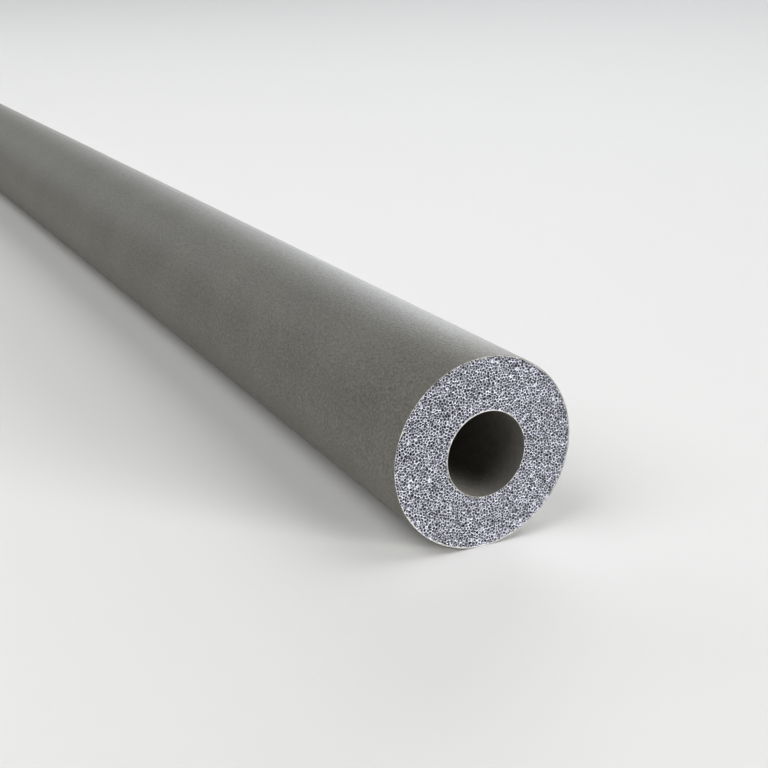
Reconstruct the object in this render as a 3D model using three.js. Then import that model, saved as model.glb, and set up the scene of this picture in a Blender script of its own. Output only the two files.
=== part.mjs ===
// One length of foam pipe lagging: a straight tube of closed-cell foam, in millimetres, lying on its side.
// The tube runs along X, with +Z up. The origin is on its axis, half way along, and the cut end that
// a fitter works from is at +X.
import * as THREE from "three";

// Sizes that can be changed one at a time
const pipeDiameter = 22; // the copper pipe that the bore takes
const wallThickness = 14;
const tubeLength = 1000;
const boreOvality = 0.4; // how much taller than wide the bore came out of the die
const boreShift = { sideways: 0.5, upwards: -0.2 }; // the bore isn't quite in the middle of the wall
const edgeRounding = 0.3; // how far the knife's edges at the two cut ends are rounded over
const roundingSteps = 2;
const flatsAround = 96; // straight sides that stand for a full circle

// Sizes that follow
const outerRadius = pipeDiameter / 2 + wallThickness;
const boreHalfWidth = pipeDiameter / 2 - boreOvality / 4;
const boreHalfHeight = pipeDiameter / 2 + boreOvality / 4;
const fullTurn = 2 * Math.PI;
const halfFlat = fullTurn / flatsAround / 2; // turns the outline, so that a flat side is lowest

const foamGrey = new THREE.MeshStandardMaterial({
  color: new THREE.Color().setRGB(0.47, 0.47, 0.45, THREE.SRGBColorSpace),
  roughness: 0.62,
  metalness: 0,
});

// The tube's section, seen from the +X end with Z up: a round wall with the bore through it.
function tubeSection() {
  const section = new THREE.Shape();
  section.absarc(0, 0, outerRadius, halfFlat, fullTurn + halfFlat, false);
  const bore = new THREE.Path();
  bore.absellipse(
    boreShift.sideways,
    boreShift.upwards,
    boreHalfWidth,
    boreHalfHeight,
    halfFlat,
    fullTurn + halfFlat,
    true,
  );
  section.holes.push(bore);
  return section;
}

// The section drawn out along X, centred on the origin, with its cut edges rounded over.
function foamTube() {
  const drawnOut = new THREE.ExtrudeGeometry(tubeSection(), {
    depth: tubeLength - 2 * edgeRounding,
    curveSegments: flatsAround / 2,
    bevelEnabled: true,
    bevelThickness: edgeRounding,
    bevelSize: edgeRounding,
    bevelOffset: -edgeRounding,
    bevelSegments: roundingSteps,
  });
  drawnOut.translate(0, 0, edgeRounding - tubeLength / 2);
  const tube = new THREE.Mesh(drawnOut, foamGrey);
  tube.name = "foam_tube";
  tube.rotation.set(Math.PI / 2, 0, Math.PI / 2, "ZYX"); // the drawn-out Z becomes X, and the section stands up
  return tube;
}

const lagging = new THREE.Group();
lagging.add(foamTube());

export default lagging;
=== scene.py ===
# One length of foam pipe lagging on a pale floor. Metres, the tube along X, +Z up.
import math
import random

import bmesh
import bpy
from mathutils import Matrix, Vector
from mathutils.geometry import delaunay_2d_cdt


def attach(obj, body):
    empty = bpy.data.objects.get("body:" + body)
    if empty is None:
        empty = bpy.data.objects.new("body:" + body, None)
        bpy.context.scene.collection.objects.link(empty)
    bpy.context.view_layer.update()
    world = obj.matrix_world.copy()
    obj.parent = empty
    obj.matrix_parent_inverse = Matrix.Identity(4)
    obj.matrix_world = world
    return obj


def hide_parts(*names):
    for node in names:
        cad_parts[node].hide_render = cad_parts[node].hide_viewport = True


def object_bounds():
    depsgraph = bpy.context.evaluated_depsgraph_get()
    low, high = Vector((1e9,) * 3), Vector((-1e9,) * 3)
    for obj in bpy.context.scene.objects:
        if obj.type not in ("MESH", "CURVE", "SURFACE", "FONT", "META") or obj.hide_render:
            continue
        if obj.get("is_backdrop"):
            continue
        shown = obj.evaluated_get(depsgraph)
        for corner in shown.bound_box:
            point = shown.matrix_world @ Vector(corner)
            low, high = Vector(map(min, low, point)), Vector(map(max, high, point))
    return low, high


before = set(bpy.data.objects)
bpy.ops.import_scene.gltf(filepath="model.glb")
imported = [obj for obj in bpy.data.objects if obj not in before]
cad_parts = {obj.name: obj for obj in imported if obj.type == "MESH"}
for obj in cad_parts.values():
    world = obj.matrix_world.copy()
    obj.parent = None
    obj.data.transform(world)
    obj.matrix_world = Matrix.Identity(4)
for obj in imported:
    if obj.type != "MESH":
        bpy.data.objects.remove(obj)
cadLow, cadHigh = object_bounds()
fullTurn = 2 * math.pi
print("frame loaded")


# A value on its way between two nodes; a sum on it adds a Math node
class Wire:
    def __init__(self, maker, socket):
        self.maker = maker
        self.socket = socket

    def maths(self, operation, first, second):
        made = self.maker.node("ShaderNodeMath", {"operation": operation}, {0: first, 1: second})
        return self.maker.wire(made)

    def __add__(self, other):
        return self.maths("ADD", self, other)

    def __radd__(self, other):
        return self.maths("ADD", other, self)

    def __sub__(self, other):
        return self.maths("SUBTRACT", self, other)

    def __rsub__(self, other):
        return self.maths("SUBTRACT", other, self)

    def __mul__(self, other):
        return self.maths("MULTIPLY", self, other)

    def __rmul__(self, other):
        return self.maths("MULTIPLY", other, self)


# Makes the nodes of a material or of the world
class NodeMaker:
    def __init__(self, owner):
        owner.use_nodes = True
        self.nodes = owner.node_tree.nodes
        self.links = owner.node_tree.links
        self.nodes.clear()

    def node(self, kind, settings=None, inputs=None):
        made = self.nodes.new(kind)
        for setting, value in (settings or {}).items():
            setattr(made, setting, value)
        for socket, value in (inputs or {}).items():
            if isinstance(value, Wire):
                self.links.new(value.socket, made.inputs[socket])
            else:
                made.inputs[socket].default_value = value
        return made

    def wire(self, made, output=0):
        return Wire(self, made.outputs[output])


# A material on its way: its nodes end in one Principled shader
class Finish(NodeMaker):
    def __init__(self, name):
        self.material = bpy.data.materials.new(name)
        super().__init__(self.material)
        self.place = self.wire(self.node("ShaderNodeTexCoord"), "Object")

    # Noise from 0 to 1 with blobs about this many metres across
    def blobs(self, across, detail=2.0, roughness=0.5):
        return self.wire(self.node(
            "ShaderNodeTexNoise",
            {"noise_dimensions": "3D"},
            {"Vector": self.place, "Scale": 1 / across, "Detail": detail, "Roughness": roughness},
        ))

    # Stretches the part of a value between two stops to 0 and 1
    def between(self, value, low, high):
        return self.wire(self.node(
            "ShaderNodeMapRange",
            {"clamp": True},
            {"Value": value, "From Min": low, "From Max": high},
        ))

    def blend(self, share, first, second):
        made = self.node(
            "ShaderNodeMix",
            {"data_type": "RGBA"},
            {"Factor": share, 6: (*first, 1), 7: (*second, 1)},  # 6 and 7 are the two colours
        )
        return self.wire(made, 2)

    def bump(self, height, distance):
        return self.wire(self.node("ShaderNodeBump", {}, {"Height": height, "Distance": distance}))

    def done(self, colour, roughness, normal=None, shine=0.5):
        inputs = {
            "Base Color": colour if isinstance(colour, Wire) else (*colour, 1),
            "Roughness": roughness,
            "Specular IOR Level": shine,
        }
        if normal:
            inputs["Normal"] = normal
        shader = self.node("ShaderNodeBsdfPrincipled", {}, inputs)
        output = self.node("ShaderNodeOutputMaterial")
        self.links.new(shader.outputs[0], output.inputs[0])
        return self.material


# The closed skin that the die left: matte, with a faint mottle and a fine peel
skinLooks = {
    "fresh": (0.106, 0.101, 0.085),
    "worn": (0.198, 0.191, 0.166),
    "mottleAcross": 0.0007,
    "driftAcross": 0.03,  # patches that are a little more worn than others
    "driftShare": 0.25,
    "wornBetween": (0.35, 0.65),  # the stretch of the mottle over which fresh turns to worn
    "peelAcross": 0.0006,
    "peelDepth": 0.0001,
    "fineness": 0.6,  # how strong the smallest blobs of the mottle and the peel are
    "roughness": 0.55,
    "roughnessDrift": 0.12,
    "shine": 0.32,
}


def foamSkin():
    finish = Finish("foam_skin")
    mottle = finish.blobs(skinLooks["mottleAcross"], roughness=skinLooks["fineness"])
    drift = finish.blobs(skinLooks["driftAcross"])
    share = skinLooks["driftShare"]
    worn = finish.between(mottle * (1 - share) + drift * share, *skinLooks["wornBetween"])
    colour = finish.blend(worn, skinLooks["fresh"], skinLooks["worn"])
    peel = finish.blobs(skinLooks["peelAcross"], roughness=skinLooks["fineness"])
    normal = finish.bump(peel, skinLooks["peelDepth"])
    roughness = skinLooks["roughness"] + (drift - 0.5) * skinLooks["roughnessDrift"]
    return finish.done(colour, roughness, normal, skinLooks["shine"])


# The skin in the bore: duller, with a softer mottle
boreLooks = {
    "colour": (0.142, 0.135, 0.121),
    "mottleAcross": 0.0015,
    "mottleSwing": 0.2,  # share of the colour that it swings each way
    "peelAcross": 0.0009,
    "peelDepth": 0.00012,
    "roughness": 0.7,
    "shine": 0.1,
}


def boreSkin():
    finish = Finish("bore_skin")
    mottle = finish.blobs(boreLooks["mottleAcross"], detail=3.0)
    darker = [(1 - boreLooks["mottleSwing"]) * c for c in boreLooks["colour"]]
    paler = [(1 + boreLooks["mottleSwing"]) * c for c in boreLooks["colour"]]
    peel = finish.blobs(boreLooks["peelAcross"])
    normal = finish.bump(peel, boreLooks["peelDepth"])
    colour = finish.blend(mottle, darker, paler)
    return finish.done(colour, boreLooks["roughness"], normal, boreLooks["shine"])


# Cells that the knife opened: pale torn walls, and darker the deeper the pit, which is painted shade
cellLooks = {
    # dark is the painted shade at the bottom of the pits; pale is the walls' crests, whose palest
    # corners are painted glints
    "dark": (0.016, 0.017, 0.026),
    "pale": (0.88, 0.895, 1.0),
    "speckAcross": 0.00045,
    "speckSwing": 0.8,
    "roughness": 0.38,
}

# The cut edges of the two skins
edgeLooks = {
    "dark": (0.2, 0.19, 0.17),
    "pale": (0.48, 0.47, 0.45),
    "speckAcross": 0.0004,
    "speckSwing": 0.6,
    "roughness": 0.55,
}


# The mesh says how pale each corner of the cut is: painted shade in the pits and painted glints on the
# walls, besides the rims' own colour; specks break that up
def cutFoam(name, looks):
    finish = Finish(name)
    # this tone is partly painted shade and painted glints, partly the rims' own colour
    tone = finish.wire(finish.node("ShaderNodeAttribute", {"attribute_name": "cellToneAndShade"}), "Fac")
    speck = finish.blobs(looks["speckAcross"], detail=1.0)
    share = finish.between(tone + (speck - 0.5) * looks["speckSwing"], 0.0, 1.0)
    return finish.done(finish.blend(share, looks["dark"], looks["pale"]), looks["roughness"])


finishes = [cutFoam("open_cells", cellLooks), cutFoam("skin_edge", edgeLooks), foamSkin(), boreSkin()]
finishNumber = {material.name: number for number, material in enumerate(finishes)}
print("finishes made")

# What was drawn through the die
tube = {
    "stretches": 24,  # rings of faces between the two ends
    "edgeRounding": 0.00012,
    "roundingSteps": 3,
    "unevenness": 0.0002,  # how far the skin wanders in and out
    "unevennessLength": 0.07,
}

# What the knife opened at each end
cutFace = {
    "cellSize": 0.00064,
    "skinCell": 0.0006,  # spacing of the cells along the two skins
    # each share of the cell size, and how often a place for such a cell is tried
    "cellSizes": ((1.25, 1500), (1.05, 6000), (0.92, 40000), (0.8, 60000), (0.7, 60000)),
    "wallDepth": (0.0, 0.00014),  # how far below the cut the walls' corners lie
    # the walls' corners are painted pale, their palest as painted glints
    "wallToneAndGlint": (0.85, 1.0),
    "tornShare": 0.35,  # corners of the walls that tore away under the knife
    "tornDepth": (0.00012, 0.0003),
    # a torn corner lies lower and is painted darker, as painted shade
    "tornPaintedShade": (0.05, 0.35),
    "mouth": (0.74, 0.98),  # share of the cell that is open, at each of its corners
    # a mouth's tone is partly random and partly painted shade, between the walls' and the floor's
    "mouthToneAndShade": (0.1, 0.76),
    "mouthSunk": 0.2,  # share of the pit's depth at which its mouth lies
    "floor": (0.8, 0.98),  # share of the mouth, at each corner
    # a pit's floor is painted near black, as painted shade
    "floorPaintedShade": (0.0, 0.02),
    "depth": (0.0004, 0.0008),
    "shallowShare": 0.03,  # cells that were cut just above a wall
    "shallowDepth": 0.00015,
    # a shallow cell's floor is painted paler, as less painted shade
    "shallowPaintedShade": (0.15, 0.45),
    "lean": 0.3,  # how far a pit's floor lies off its middle
    "outerRimTone": 0.45,
    "boreRimTone": 0.9,
    "seeds": {"near_end": 5, "far_end": 8},
}


# The section as the frame has it: the outside's radius, and the bore's middle and half sizes
def sectionFromFrame():
    corners = [corner.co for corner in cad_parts["foam_tube"].data.vertices]
    aMicron = 1e-6
    pastRounding = min(abs(corner.x) for corner in corners) + aMicron
    section = [Vector((c.y, c.z)) for c in corners if abs(c.x) < pastRounding]
    outside = max(c.length for c in section)
    inTheWall = 0.7 * outside  # between the bore's corners and the outside's
    bore = [c for c in section if c.length < inTheWall]
    low = Vector((min(c.x for c in bore), min(c.y for c in bore)))
    high = Vector((max(c.x for c in bore), max(c.y for c in bore)))
    return outside, (low + high) / 2, (high - low) / 2


outerRadius, boreMiddle, boreHalf = sectionFromFrame()
midWall = (outerRadius + boreHalf.x) / 2


def outsidePoint(turn, grown):
    reach = outerRadius + grown
    return Vector((reach * math.cos(turn), reach * math.sin(turn)))


def borePoint(turn, grown):
    across = (boreHalf.x + grown) * math.cos(turn)
    upright = (boreHalf.y + grown) * math.sin(turn)
    return boreMiddle + Vector((across, upright))


def insideWall(point, margin):
    fromBore = point - boreMiddle
    share = math.hypot(fromBore.x / (boreHalf.x + margin), fromBore.y / (boreHalf.y + margin))
    return share > 1 and point.length < outerRadius - margin


# The two skins where the knife cut them, as rings of points a skin cell apart
def skinRims():
    outer = {
        "place": outsidePoint,
        "grown": -tube["edgeRounding"],
        "count": round(fullTurn * outerRadius / cutFace["skinCell"]),
        "tone": cutFace["outerRimTone"],
    }
    bore = {
        "place": borePoint,
        "grown": tube["edgeRounding"],
        "count": round(fullTurn * boreHalf.x / cutFace["skinCell"]),
        "tone": cutFace["boreRimTone"],
    }
    return outer, bore


def rimPoint(rim, step):
    return rim["place"](fullTurn * step / rim["count"], rim["grown"])


# Cells of many sizes, the big ones placed first, each with its own elbow room
def scatterCells(dice):
    placed, squares = [], {}
    square = cutFace["cellSize"] * cutFace["cellSizes"][0][0]
    for share, tries in cutFace["cellSizes"]:
        room = share * cutFace["cellSize"]
        clearOfSkins = tube["edgeRounding"] + room / 3
        for _ in range(tries):
            spot = Vector((dice.uniform(-1, 1), dice.uniform(-1, 1))) * outerRadius
            if not insideWall(spot, clearOfSkins):
                continue
            column, row = math.floor(spot.x / square), math.floor(spot.y / square)
            near = [
                other
                for across in (-1, 0, 1)
                for up in (-1, 0, 1)
                for other in squares.get((column + across, row + up), ())
            ]
            if all((spot - there).length > (room + itsRoom) / 2 for there, itsRoom in near):
                squares.setdefault((column, row), []).append((spot, room))
                placed.append(spot)
    return placed


# Three cells meet at each corner of the walls, and at some of them the walls tore away; a torn corner
# lies lower and gets a darker tone as painted shade, the others a pale tone with painted glints
def wallCorners(dice, spots, triangles):
    corners, tones = [], []
    for triangle in triangles:
        middle = sum((spots[c] for c in triangle), Vector((0, 0))) / 3
        torn = dice.random() < cutFace["tornShare"]
        sunk = dice.uniform(*cutFace["tornDepth" if torn else "wallDepth"])
        corners.append((-sunk, *middle))
        # painted shade for a sunk corner, a pale tone with painted glints for a high one
        tones.append(dice.uniform(*cutFace["tornPaintedShade" if torn else "wallToneAndGlint"]))
    return corners, tones


# One opened cell below its ring of walls: the corners and tones of its mouth, then of its floor; the
# mouth's tones are partly painted shade and the floor's are painted shade, near black
def pitRings(dice, walls):
    centre = sum(walls, Vector()) / len(walls)
    shallow = dice.random() < cutFace["shallowShare"]
    depth = cutFace["shallowDepth"] if shallow else dice.uniform(*cutFace["depth"])
    floorPaintedShade = dice.uniform(*cutFace["shallowPaintedShade" if shallow else "floorPaintedShade"])
    lean = Vector((0, dice.uniform(-1, 1), dice.uniform(-1, 1))) * cutFace["lean"] * cutFace["cellSize"]
    mouths = [dice.uniform(*cutFace["mouth"]) for _ in walls]
    floors = [share * dice.uniform(*cutFace["floor"]) for share in mouths]
    mouthToneAndShades = [dice.uniform(*cutFace["mouthToneAndShade"]) for _ in walls]
    for shares, sunk, tones in (
        (mouths, cutFace["mouthSunk"] * depth, mouthToneAndShades),
        (floors, depth, [floorPaintedShade] * len(walls)),
    ):
        shift = lean * (sunk / cutFace["depth"][1]) - Vector((sunk, 0, 0))
        yield [tuple(centre.lerp(wall, share) + shift) for wall, share in zip(walls, shares)], tones


# One cut end, facing along X: open cells inside, and the two skins as thin rims
def slicedFace(name, facing):
    dice = random.Random(cutFace["seeds"][name])
    outer, bore = skinRims()
    points = [rimPoint(rim, step) for rim in (outer, bore) for step in range(rim["count"])]
    rimCount = len(points)
    points += scatterCells(dice)
    wholeOutline, mergeWithin = 0, 1e-9
    spots, _, triangles, origins, *_ = delaunay_2d_cdt(points, [], [], wholeOutline, mergeWithin)
    cells = [origin[0] for origin in origins]
    # the triangles that span the bore aren't foam
    triangles = [t for t in triangles if not all(outer["count"] <= cells[c] < rimCount for c in t)]
    around = [[] for _ in points]
    for number, triangle in enumerate(triangles):
        for corner in triangle:
            around[cells[corner]].append(number)

    # after the walls' corners come those on the rims, half way between the rims' points
    corners, tones = wallCorners(dice, spots, triangles)
    onRims = len(corners)
    for rim in (outer, bore):
        corners += [(0.0, *rimPoint(rim, step + 0.5)) for step in range(rim["count"])]
        tones += [rim["tone"]] * rim["count"]

    def inOrder(ring, centre):
        def turn(c):
            return math.atan2(corners[c][2] - centre.y, corners[c][1] - centre.x)

        return sorted(ring, key=turn)

    # a skin cell is solid, from its rim to the corners of its walls
    faces, wears = [], []  # each face's corners, and the finish that it wears
    first = 0
    for rim in (outer, bore):
        for step in range(rim["count"]):
            before = (step - 1) % rim["count"]
            ring = around[first + step] + [onRims + first + before, onRims + first + step]
            centre = sum((Vector(corners[c][1:]) for c in ring), Vector((0, 0))) / len(ring)
            faces.append(inOrder(ring, centre))
            wears.append("skin_edge")
        first += rim["count"]

    # an opened cell steps down from its walls to its mouth, and from there to its floor
    for number in range(rimCount, len(points)):
        high = inOrder(around[number], points[number])
        for ring, ringTones in pitRings(dice, [Vector(corners[c]) for c in high]):
            low = range(len(corners), len(corners) + len(ring))
            corners += ring
            tones += ringTones
            for k in range(len(ring)):
                following = (k + 1) % len(ring)
                faces.append([high[k], high[following], low[following], low[k]])
            high = low
        faces.append(list(high))
        wears += ["open_cells"] * (2 * len(high) + 1)
    print(name, "has", len(points) - rimCount, "open cells")
    return cutPiece(name, facing, corners, tones, faces, wears)


def cutPiece(name, facing, corners, tones, faces, wears):
    if facing < 0:
        faces = [face[::-1] for face in faces]
    end = cadHigh.x if facing > 0 else -cadLow.x
    mesh = bpy.data.meshes.new(name)
    mesh.from_pydata([(facing * (end + x), y, z) for x, y, z in corners], [], faces)
    mesh.attributes.new("cellToneAndShade", "FLOAT", "POINT").data.foreach_set("value", tones)
    for material in finishes:
        mesh.materials.append(material)
    mesh.polygons.foreach_set("material_index", [finishNumber[wear] for wear in wears])
    piece = bpy.data.objects.new(name, mesh)
    bpy.context.collection.objects.link(piece)
    return piece


# Rolls one rim of both ends over the knife's edge, and draws the skin from one end to the other
def drawSkin(piece, outside):
    bpy.ops.mesh.select_all(action="DESELECT")
    ends = bmesh.from_edit_mesh(piece.data)
    for edge in ends.edges:
        if edge.is_boundary and (edge.verts[0].co.yz.length > midWall) == outside:
            edge.select_set(True)
    bmesh.update_edit_mesh(piece.data)
    half = Vector((outerRadius, outerRadius)) if outside else boreHalf
    middle = Vector((0, 0)) if outside else boreMiddle
    inset, steps = tube["edgeRounding"], tube["roundingSteps"]
    fromSkin = -inset if outside else inset
    along, grown = cadHigh.x, fromSkin
    for step in range(1, steps + 1):
        turn = fullTurn / 4 * step / steps
        nextAlong = cadHigh.x - inset * (1 - math.cos(turn))
        nextGrown = fromSkin * (1 - math.sin(turn))
        bpy.ops.mesh.extrude_region_move()
        bpy.ops.transform.resize(
            value=(
                nextAlong / along,
                (half.x + nextGrown) / (half.x + grown),
                (half.y + nextGrown) / (half.y + grown),
            ),
            center_override=(0, *middle),
        )
        along, grown = nextAlong, nextGrown
    bpy.ops.mesh.bridge_edge_loops(number_cuts=tube["stretches"] - 1, interpolation="LINEAR")


# The real skin isn't dead straight: it wanders a little between its ends
def letWander(piece):
    skin = piece.vertex_groups.new(name="skin")
    pastPits = cadHigh.x - 2 * cutFace["depth"][1]  # only the drawn skins have points between here
    skin.add([v.index for v in piece.data.vertices if abs(v.co.x) < pastPits], 1.0, "REPLACE")
    wander = bpy.data.textures.new("wander", "CLOUDS")
    wander.noise_scale = tube["unevennessLength"]
    shift = piece.modifiers.new("wander", "DISPLACE")
    shift.texture = wander
    shift.texture_coords = "LOCAL"
    shift.vertex_group = "skin"
    shift.mid_level = 0.5
    shift.strength = tube["unevenness"]
    bpy.ops.object.modifier_apply(modifier="wander")
    piece.vertex_groups.remove(piece.vertex_groups["skin"])


def foamTube():
    piece = slicedFace("near_end", 1)
    farEnd = slicedFace("far_end", -1)
    bpy.ops.object.select_all(action="DESELECT")
    piece.select_set(True)
    farEnd.select_set(True)
    bpy.context.view_layer.objects.active = piece
    bpy.ops.object.join()
    piece.name = "lagging_tube"
    piece.data.name = "lagging_tube"
    bpy.ops.object.mode_set(mode="EDIT")
    bpy.ops.mesh.select_mode(type="EDGE")
    drawSkin(piece, True)
    drawSkin(piece, False)
    bpy.ops.mesh.select_all(action="SELECT")
    bpy.ops.mesh.normals_make_consistent(inside=False)
    bpy.ops.object.mode_set(mode="OBJECT")
    for face in piece.data.polygons:
        if not insideWall(face.center.yz, tube["edgeRounding"]):
            outside = face.center.yz.length > midWall
            face.material_index = finishNumber["foam_skin" if outside else "bore_skin"]
    letWander(piece)
    bpy.ops.object.shade_smooth()
    return piece


lagging = foamTube()
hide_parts("foam_tube")
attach(lagging, "root")
print("tube drawn,", len(lagging.data.loop_triangles), "triangles")

# A softbox hangs over the tube, and soft lights stand round it out of view
studio = {
    "floorColour": (0.79, 0.785, 0.77),
    "floorRoughness": 0.9,
    "floorWidth": 80.0,
    "skyColour": (1.0, 1.0, 1.0),
    "skyStrength": 0.03,
    "wallStrength": 0.72,
    "softboxPlace": (0.9, -2.7, 3.2),
    "softboxWidth": 3.2,
    "softboxPower": 104.0,
    "behindColour": (0.94, 0.98, 1.04),
    "softLights": {  # the way each comes from, its strength and its width in degrees
        "low_behind_right": {"way": (-0.71, 0.69, 0.14), "strength": 1.0, "spread": 30},
        "behind_right": {"way": (-0.76, 0.53, 0.37), "strength": 0.57, "spread": 30},
        "behind": {"way": (-0.87, 0.32, 0.37), "strength": 0.35, "spread": 30},
        "behind_left": {"way": (-0.9, -0.24, 0.37), "strength": 0.38, "spread": 30},
        "above_right": {"way": (0.15, 0.4, 0.9), "strength": 0.8, "spread": 40},
        "front": {"way": (0.86, 0.48, 0.085), "strength": 6.6, "spread": 30},
    },
}


def paleFloor():
    bpy.ops.object.select_all(action="DESELECT")
    bpy.ops.mesh.primitive_plane_add(size=studio["floorWidth"], location=(0, 0, cadLow.z))
    floor = bpy.context.object
    floor.name = "floor"
    finish = Finish("pale_floor")
    floor.data.materials.append(finish.done(studio["floorColour"], studio["floorRoughness"]))
    floor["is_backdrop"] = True


# A dim sky, which shows itself to the camera as a pale wall behind the floor
def paleWall():
    world = bpy.data.worlds.new("studio")
    maker = NodeMaker(world)
    seen = maker.wire(maker.node("ShaderNodeLightPath"), "Is Camera Ray")
    strength = studio["skyStrength"] + seen * (studio["wallStrength"] - studio["skyStrength"])
    sky = maker.node(
        "ShaderNodeBackground",
        {},
        {"Color": (*studio["skyColour"], 1), "Strength": strength},
    )
    output = maker.node("ShaderNodeOutputWorld")
    maker.links.new(sky.outputs[0], output.inputs[0])
    bpy.context.scene.world = world


# Turns a light so that it shines from this place or way towards the middle of the tube
def facingTube(way):
    return Vector(way).to_track_quat("Z", "Y").to_euler()


def lightStudio():
    place = studio["softboxPlace"]
    bpy.ops.object.light_add(type="AREA", location=place, rotation=facingTube(place))
    softbox = bpy.context.object.data
    softbox.size = studio["softboxWidth"]
    softbox.energy = studio["softboxPower"]
    for name, light in studio["softLights"].items():
        bpy.ops.object.light_add(type="SUN", rotation=facingTube(light["way"]))
        bpy.context.object.name = name
        bpy.context.object.data.energy = light["strength"]
        bpy.context.object.data.angle = math.radians(light["spread"])
        if light["way"][0] < 0:
            bpy.context.object.data.color = studio["behindColour"]


# The camera stands low beside the near end and looks along the tube
cameraView = {
    "place": (0.7329, -0.1466, 0.1112),
    "headingDegrees": 62.95,  # turned from +Y towards -X
    "downDegrees": 18.78,
    "lens": 56.7,
    "sensor": 36.0,
    "nearest": 0.01,
}


def standCamera():
    down = math.radians(90 - cameraView["downDegrees"])
    heading = math.radians(cameraView["headingDegrees"])
    bpy.ops.object.camera_add(location=cameraView["place"], rotation=(down, 0, heading))
    camera = bpy.context.object
    camera.data.sensor_width = cameraView["sensor"]
    camera.data.lens = cameraView["lens"]
    camera.data.clip_start = cameraView["nearest"]
    camera.data.clip_end = studio["floorWidth"]
    bpy.context.scene.camera = camera


paleFloor()
paleWall()
lightStudio()
standCamera()
bpy.context.scene.view_settings.view_transform = "Standard"
print("studio ready")

boxes = {"cad": (cadLow, cadHigh), "visual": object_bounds()}
{name: [list(corner) for corner in box] for name, box in boxes.items()}
